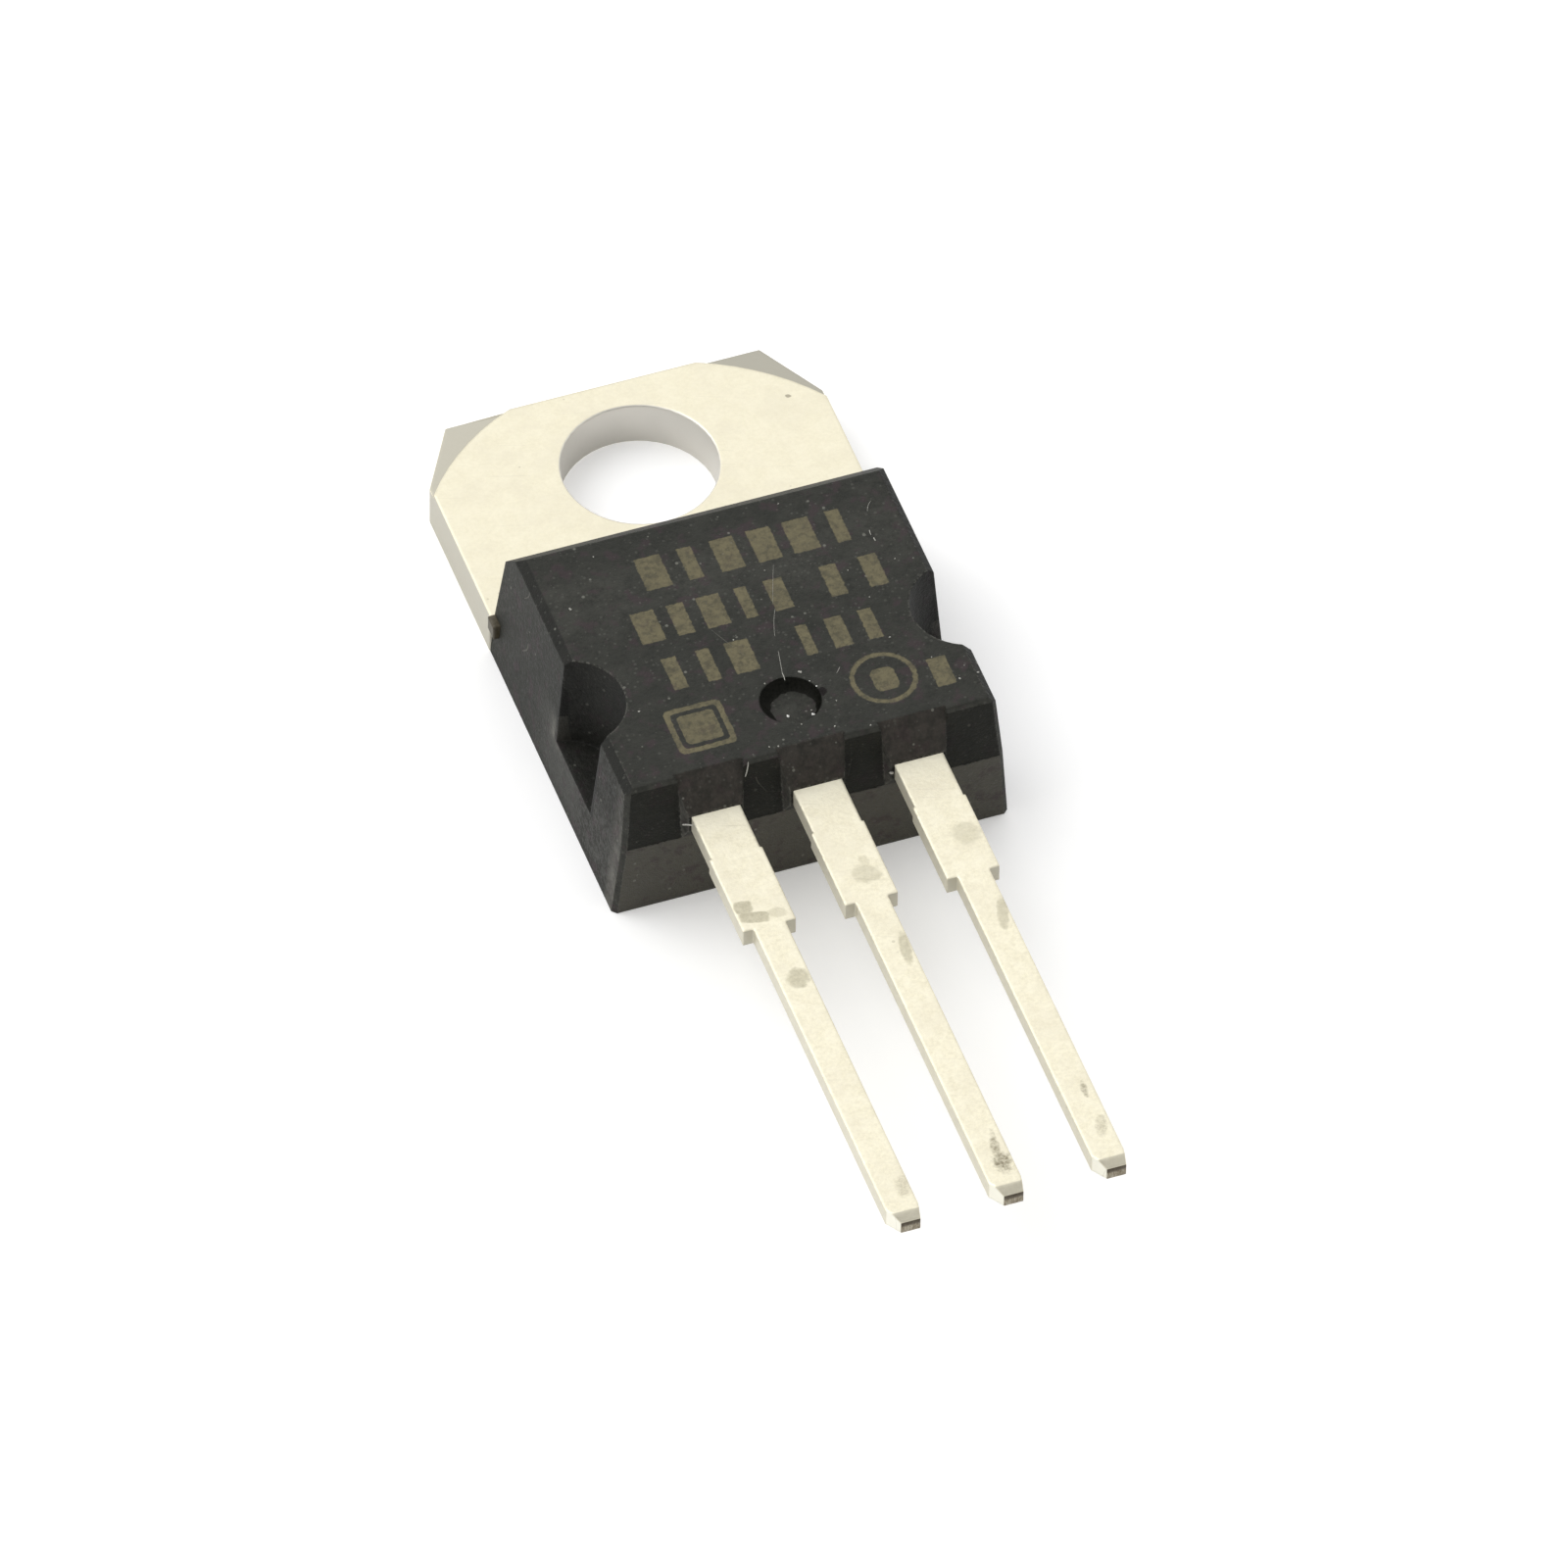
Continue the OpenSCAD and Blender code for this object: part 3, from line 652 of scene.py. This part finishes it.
def pin_mark_finish():
    """The dished wall of the pin mark, painted nearly black as the shade in the dimple, with a fine grain."""
    material, tree, shader, position = new_material("pin_mark_painted_shade", Specular_IOR_Level=0.05, Roughness=0.5)
    grain = grain_at(tree, position, 0.06)
    colour = coat(tree, lay_over(tree, grain, shade(4, 5, 3), shade(24, 24, 20)),
                  [(grain_at(tree, position, 0.3), 0.5, shade(30, 30, 26))])
    dress(tree, shader, {"Strength": 0.5, "Distance": 0.008 * MM, "Height": grain}, Base_Color=colour)
    return material


COMPOUND = moulding_compound()
TIN = tinned_copper()
WIRE = inner_metal("bond_wire", shade(190, 192, 196), shade(226, 228, 230), 0.06, 1.0, 0.28)
LINT = pale_finish("lint", shade(122, 121, 114), shade(196, 194, 186), 0.8)
# Mineral flakes of the filler, made near-white as a painted glint.
FLAKE = pale_finish("mineral_flake_painted_glint", shade(226, 226, 220), shade(252, 252, 248), 0.4)
finishes = {
    "moulded_body": COMPOUND, "heat_sink_tab": TIN, "base_lead": TIN, "emitter_lead": TIN,
    "silicon_die": inner_metal("silicon", shade(58, 62, 74), shade(92, 98, 112), 0.3, 0.5, 0.2),
    "die_attach_solder": inner_metal("solder", shade(120, 120, 118), shade(168, 168, 164), 0.12, 0.9, 0.35),
    "base_bond_wire": WIRE, "emitter_bond_wire": WIRE,
}
for name, finish in finishes.items():
    for slot in nodes[name].material_slots:
        slot.material = finish


# ---------------------------------------------------------------- edges
def round_edges(node, radius):
    """Joins a node's loose triangles into flat faces, then rounds its edges to a radius, in millimetres."""
    same_point, same_face, sharp_edge = 0.0005 * MM, math.radians(0.3), math.radians(25)
    join = node.modifiers.new("join", "WELD")
    join.merge_threshold = same_point
    flatten = node.modifiers.new("flatten", "DECIMATE")
    flatten.decimate_type = "DISSOLVE"
    flatten.angle_limit = same_face
    soften = node.modifiers.new("soften", "BEVEL")
    soften.width = radius * MM
    soften.segments = 3
    soften.limit_method = "ANGLE"
    soften.angle_limit = sharp_edge
    soften.use_clamp_overlap = True
    soften.harden_normals = False


edge_radii = {"base_lead": 0.09, "emitter_lead": 0.09, "heat_sink_tab": 0.05, "moulded_body": 0.04}
for name, radius in edge_radii.items():
    round_edges(nodes[name], radius)


# ---------------------------------------------------------------- small pieces
def skin(rings):
    """A closed surface over rings of points, an array [ring, point on it, xyz].

    Neighbouring points of neighbouring rings make the four-sided faces, and each end is closed by a fan of
    triangles round the mean of its ring.
    """
    count, around, _ = rings.shape
    points = np.concatenate([rings.reshape(-1, 3), rings[:1].mean(1), rings[-1:].mean(1)])
    here = np.arange(count * around).reshape(count, around)
    onward = np.roll(here, -1, axis=1)
    quads = np.stack([here[:-1], onward[:-1], onward[1:], here[1:]], axis=-1).reshape(-1, 4)
    first, last = count * around, count * around + 1
    fans = np.concatenate([np.stack([np.full(around, first), onward[0], here[0]], axis=1),
                           np.stack([np.full(around, last), here[-1], onward[-1]], axis=1)])
    return outward(points, quads, fans)


def outward(points, quads, fans):
    """Turns all the faces where the volume they enclose, summed over triangles from the origin, is negative."""
    triangles = np.concatenate([quads[:, [0, 1, 2]], quads[:, [0, 2, 3]], fans])
    a, b, c = (points[triangles[:, i]] for i in range(3))
    if np.einsum("ij,ij->i", a, np.cross(b, c)).sum() < 0:
        quads, fans = quads[:, ::-1], fans[:, ::-1]
    return points, quads, fans


def hoop(sections):
    """A closed hoop over sections of points, an array [section, point on it, xyz]; the last meets the first."""
    count, around, _ = sections.shape
    here = np.arange(count * around).reshape(count, around)
    ahead = np.roll(here, -1, axis=0)
    quads = np.stack([here, np.roll(here, -1, axis=1), np.roll(ahead, -1, axis=1), ahead], axis=-1)
    return outward(sections.reshape(-1, 3), quads.reshape(-1, 4), np.zeros((0, 3), int))


def new_piece(name, skins, material, smooth=True):
    """Joins closed surfaces, given in millimetres, into one mesh that rides on the part."""
    points, quads, fans, start = [], [], [], 0
    for some_points, some_quads, some_fans in skins:
        points.append(some_points * MM)
        quads.append(some_quads + start)
        fans.append(some_fans + start)
        start += len(some_points)
    mesh = bpy.data.meshes.new(name)
    faces = np.concatenate(quads).tolist() + np.concatenate(fans).tolist()
    mesh.from_pydata(np.concatenate(points).tolist(), [], faces)
    mesh.polygons.foreach_set("use_smooth", np.full(len(mesh.polygons), smooth))
    mesh.materials.append(material)
    piece = bpy.data.objects.new(name, mesh)
    bpy.context.collection.objects.link(piece)
    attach(piece, "root")


def bent(start, middle, end, count):
    """Points on a curve through three places: (1-t)^2 A + 2t(1-t) B + t^2 C.

    B is set so that the curve passes the middle place halfway along.
    """
    a, m, c = (np.array(p, float) for p in (start, middle, end))
    b = 2 * m - (a + c) / 2
    t = np.linspace(0, 1, count)[:, None]
    return (1 - t) ** 2 * a + 2 * t * (1 - t) * b + t ** 2 * c


def thread(path, radius, around=8):
    """A thin round fibre: a circle carried along a path, square to it, and drawn in to a point at each end."""
    along = np.gradient(path, axis=0)
    along /= np.linalg.norm(along, axis=1, keepdims=True)
    across = np.cross(along, np.array([0.0, 0.0, 1.0]))
    across /= np.linalg.norm(across, axis=1, keepdims=True)
    upward = np.cross(across, along)
    angle = np.linspace(0, 2 * np.pi, around, endpoint=False)[None, :, None]
    t = np.linspace(-1, 1, len(path))
    width = radius * np.sqrt(1.0001 - t ** 8)[:, None, None]
    return skin(path[:, None] + width * (np.cos(angle) * across[:, None] + np.sin(angle) * upward[:, None]))


def grain_of_dust(centre, radius, seed, flat=0.55):
    """A lumpy grain: a sphere of latitude rings whose radius swells with three sines of the two angles."""
    rng = np.random.default_rng(seed)
    p, q, r = rng.uniform(0, 2 * np.pi, 3)
    rise = np.linspace(-1.45, 1.45, 7)[:, None]
    turn = np.linspace(0, 2 * np.pi, 9, endpoint=False)[None, :]
    size = radius * (1 + 0.25 * np.sin(2 * turn + p) * np.cos(rise) + 0.2 * np.sin(3 * turn + 2 * rise + q)
                     + 0.1 * np.sin(4 * rise + r))
    ball = np.stack([size * np.cos(rise) * np.cos(turn), size * np.cos(rise) * np.sin(turn),
                     flat * size * np.sin(rise)], axis=-1)
    return skin(ball + np.array(centre))


def ragged(count, seed, roughness=6):
    """A row of numbers from 0 to 1 that wanders: random values averaged over their neighbours and stretched."""
    values = np.random.default_rng(seed).uniform(0, 1, count + 2 * roughness)
    weights = np.hanning(roughness * 2 + 1)
    values = np.convolve(values, weights / weights.sum(), "same")[roughness:-roughness]
    return (values - values.min()) / (values.max() - values.min())


def flash_along(start, end, outward, reach, thick, seed, count=60):
    """A thin fin of resin: a wedge carried along a line, whose edge wanders out to at most reach."""
    start, end, outward = (np.array(v, float) for v in (start, end, outward))
    t = np.linspace(0, 1, count)
    out = reach * (0.15 + 0.85 * ragged(count, seed) ** 2) * np.sin(np.pi * t) ** 0.3
    middle = start + (end - start) * t[:, None]
    up = np.cross(outward, (end - start) / np.linalg.norm(end - start))
    root, edge = middle - outward * 0.02, middle + outward * out[:, None]
    half, thin = up * thick, up * thick * 0.25
    return skin(np.stack([root + half, edge + thin, edge - thin, root - half], axis=1))


def pin_mark_wall(steps=96, rise=7):
    """The dished wall round the ejector-pin print, which fills the corner between the dimple's wall and floor.

    From the print's edge, a circle that wanders a little, to the rim, a circle round the dimple's centre, each
    point is a blend of the two by s, and its height is the dimple's depth times s to the power 1.4.
    """
    turn = np.linspace(0, 2 * np.pi, steps, endpoint=False)[:, None]
    s = np.linspace(0, 1, rise)[None, :]
    wander = 0.54 + 0.012 * np.sin(5 * turn + 1) + 0.01 * np.sin(11 * turn) + 0.008 * np.sin(17 * turn + 2)
    inner = [PIN_FACE[0] + wander * np.cos(turn), PIN_FACE[1] + wander * np.sin(turn)]
    reach, floor = DIMPLE_R - 0.004, TOP_Z - DIMPLE_DEPTH + 0.003
    rim = [DIMPLE[0] + reach * np.cos(turn), DIMPLE[1] + reach * np.sin(turn)]
    face = np.stack([inner[0] + (rim[0] - inner[0]) * s, inner[1] + (rim[1] - inner[1]) * s,
                     floor + (DIMPLE_DEPTH - 0.012) * s ** 1.4 + 0 * turn], axis=-1)
    foot = np.stack([rim[0], rim[1], floor + 0 * turn], axis=-1)
    return hoop(np.concatenate([face, foot], axis=1))


# Fibres: (start, middle, end, number of points, radius); most of them lie on the moulding's top.
ON_TOP = TOP_Z + 0.004
fibre_places = [((-1.58, -12.2, 4.06), (-1.63, -12.27, 3.87), (-1.69, -12.29, 3.65), 16, 0.016),
                ((-3.42, -12.76, 3.09), (-3.31, -12.82, 3.12), (-3.2, -12.92, 3.16), 14, 0.02),
                ((1.06, -6.51, ON_TOP), (0.84, -7.1, ON_TOP), (0.63, -7.69, ON_TOP), 30, 0.003),
                ((0.63, -7.85, ON_TOP), (0.46, -8.25, ON_TOP), (0.32, -8.71, ON_TOP), 24, 0.0045),
                ((0.25, -9.14, ON_TOP), (0.17, -9.52, ON_TOP), (0.1, -9.86, ON_TOP), 24, 0.0055),
                ((0.1, -9.84, ON_TOP), (0.1, -9.95, ON_TOP), (0.08, -10.1, ON_TOP), 10, 0.011),
                ((3.945, -5.335, ON_TOP), (3.83, -5.45, ON_TOP), (3.735, -5.65, ON_TOP), 12, 0.006),
                ((3.59, -6.2, ON_TOP), (3.57, -6.3, ON_TOP), (3.57, -6.38, ON_TOP), 8, 0.01),
                ((3.6, -6.47, ON_TOP), (3.6, -6.52, ON_TOP), (3.61, -6.6, ON_TOP), 8, 0.013),
                ((1.46, -10.09, ON_TOP), (1.4, -10.17, ON_TOP), (1.31, -10.27, ON_TOP), 10, 0.006)]
fibres = [thread(bent(start, middle, end, count), radius) for start, middle, end, count, radius in fibre_places]
new_piece("lint_fibres", fibres, LINT)

# Dust: (x, y, radius) on the top, and one grain by a lead. Flakes: (x, y, z, radius) in and near the dimple,
# mineral flakes whose near-white colour paints their glint.
dust_places = [(-3.97, -6.31, 0.035), (0.51, -9.95, 0.04), (0.36, -11.18, 0.02), (0.71, -11.84, 0.025),
               (1.52, -12.08, 0.022), (-0.76, -12.0, 0.025), (-0.97, -11.95, 0.02), (4.01, -11.37, 0.03),
               (4.49, -11.32, 0.025), (2.87, -8.23, 0.018), (3.85, -7.27, 0.018), (1.82, -4.71, 0.02),
               (-3.5, -9.9, 0.025), (-2.9, -4.9, 0.02), (3.61, -10.51, 0.02), (-0.4, -10.03, 0.02),
               (2.67, -7.26, 0.016), (1.02, -11.08, 0.02), (0.8, -6.62, 0.014), (-0.01, -11.52, 0.018),
               (2.89, -9.59, 0.022)]
dust = [grain_of_dust((x, y, TOP_Z + 0.1 * r), r, seed) for seed, (x, y, r) in enumerate(dust_places)]
dust.append(grain_of_dust((1.84, -12.7, 2.95), 0.045, 60))
new_piece("dust_grains", dust, LINT)

flake_places = [(-0.16, -11.0, 3.88, 0.036), (0.41, -11.18, 3.93, 0.04), (0.06, -11.35, 3.9, 0.026),
                (0.73, -10.5, 4.1, 0.02), (0.63, -10.29, 4.1, 0.014)]
flakes = [grain_of_dust((x, y, z), r, 80 + seed, flat=0.8) for seed, (x, y, z, r) in enumerate(flake_places)]
new_piece("mineral_flakes_painted_glints", flakes, FLAKE)
# The pin mark's dished wall, whose near-black finish paints the shade in the dimple.
new_piece("pin_mark_wall", [pin_mark_wall()], pin_mark_finish(), smooth=False)

# Resin fins: along the parting edge between the noses, and beside each lead where it leaves the moulding.
gaps = [(-4.66, -3.3), (-1.78, -0.76), (0.76, 1.78), (3.3, 4.66)]
fins = [flash_along((a, -BODY_END, PARTING_Z), (b, -BODY_END, PARTING_Z), (0, -1, 0), 0.03, 0.012, 20 + i)
        for i, (a, b) in enumerate(gaps)]
for i, x in enumerate(LEAD_X):
    for side in (-1, 1):
        foot = (x + side * LEAD_SIDE, -NOSE_END, LEAD_Z)
        fins.append(flash_along(foot, (*foot[:2], LEAD_TOP), (side * 0.5, -0.866, 0), 0.05, 0.012,
                                40 + 2 * i + side, 24))
new_piece("resin_flash", fins, COMPOUND, smooth=False)


# ---------------------------------------------------------------- studio
def studio_floor():
    """A broad pale floor a hair under the tab's back, clear from beneath so that the back can be seen."""
    half, under, clear_within = 0.6, -0.01 * MM, 0.05 * MM
    mesh = bpy.data.meshes.new("floor")
    mesh.from_pydata([(-half, -half, under), (half, -half, under), (half, half, under), (-half, half, under)],
                     [], [(0, 1, 2, 3)])
    floor = bpy.data.objects.new("floor", mesh)
    bpy.context.collection.objects.link(floor)
    material, tree, shader, _ = new_material("white_floor", Roughness=0.9, Base_Color=(0.9, 0.9, 0.9, 1.0),
                                             Emission_Color=(1.0, 1.0, 1.0, 1.0))
    path = tree.nodes.new("ShaderNodeLightPath").outputs
    seen = path["Is Camera Ray"]
    tree.links.new(times(tree, seen, 0.2), shader.inputs["Emission Strength"])
    # Light that leaves the back goes through, because the floor is nearer to it than clear_within.
    short = reckon(tree, "LESS_THAN", path["Ray Length"], clear_within)
    leaving = times(tree, short, outside(tree, seen))
    beneath = tree.nodes.new("ShaderNodeNewGeometry").outputs["Backfacing"]
    tree.links.new(outside(tree, most(tree, leaving, beneath)), shader.inputs["Alpha"])
    mesh.materials.append(material)


def softbox(name, place, aim, size, power):
    """A large soft area light at a place, facing aim; both are in metres."""
    light = bpy.data.lights.new(name, "AREA")
    light.shape = "DISK"
    light.size = size
    light.energy = power
    lamp = bpy.data.objects.new(name, light)
    lamp.location = place
    lamp.rotation_euler = (Vector(aim) - Vector(place)).to_track_quat("-Z", "Y").to_euler()
    bpy.context.collection.objects.link(lamp)


def studio_sky():
    """Even white light all round, weaker from the front."""
    world = bpy.data.worlds.new("studio")
    world.use_nodes = True
    bpy.context.scene.world = world
    tree = world.node_tree
    direction = tree.nodes.new("ShaderNodeTexCoord").outputs["Generated"]
    level = spread(tree, parts_of(tree, direction)[Y], -0.9, 0.35, 0.5, 1.08)
    tree.links.new(level, tree.nodes["Background"].inputs["Strength"])
    tree.nodes["Background"].inputs["Color"].default_value = (1.0, 1.0, 1.0, 1.0)


def photo_camera(angles, aim, distance, lens):
    """A camera turned, raised and tilted by angles in degrees, a distance in millimetres from where it aims."""
    turn, rise, roll = (math.radians(a) for a in angles)
    back = Vector((math.sin(turn) * math.cos(rise), -math.cos(turn) * math.cos(rise), math.sin(rise)))
    right = Vector((math.cos(turn), math.sin(turn), 0.0))
    up = back.cross(right)
    level = Matrix((right, up, back)).transposed()
    data = bpy.data.cameras.new("camera")
    data.sensor_width = 36.0
    data.lens = lens
    data.clip_start, data.clip_end = 0.01, 10.0
    camera = bpy.data.objects.new("camera", data)
    camera.rotation_mode = "QUATERNION"
    turned = level @ Matrix.Rotation(roll, 3, "Z")
    camera.matrix_world = Matrix.Translation((Vector(aim) + back * distance) * MM) @ turned.to_4x4()
    bpy.context.collection.objects.link(camera)
    bpy.context.scene.camera = camera


studio_floor()
studio_sky()
softbox("key", place=(-0.35, 0.15, 0.5), aim=(0, -0.01, 0), size=0.6, power=1.6)
# The view of the photograph, as fitted to it.
photo_camera(angles=(-20.262, 48.291, 1.001), aim=(0.234, -9.738, 0.0), distance=534.685, lens=516.7)
bpy.context.scene.view_settings.view_transform = "Standard"
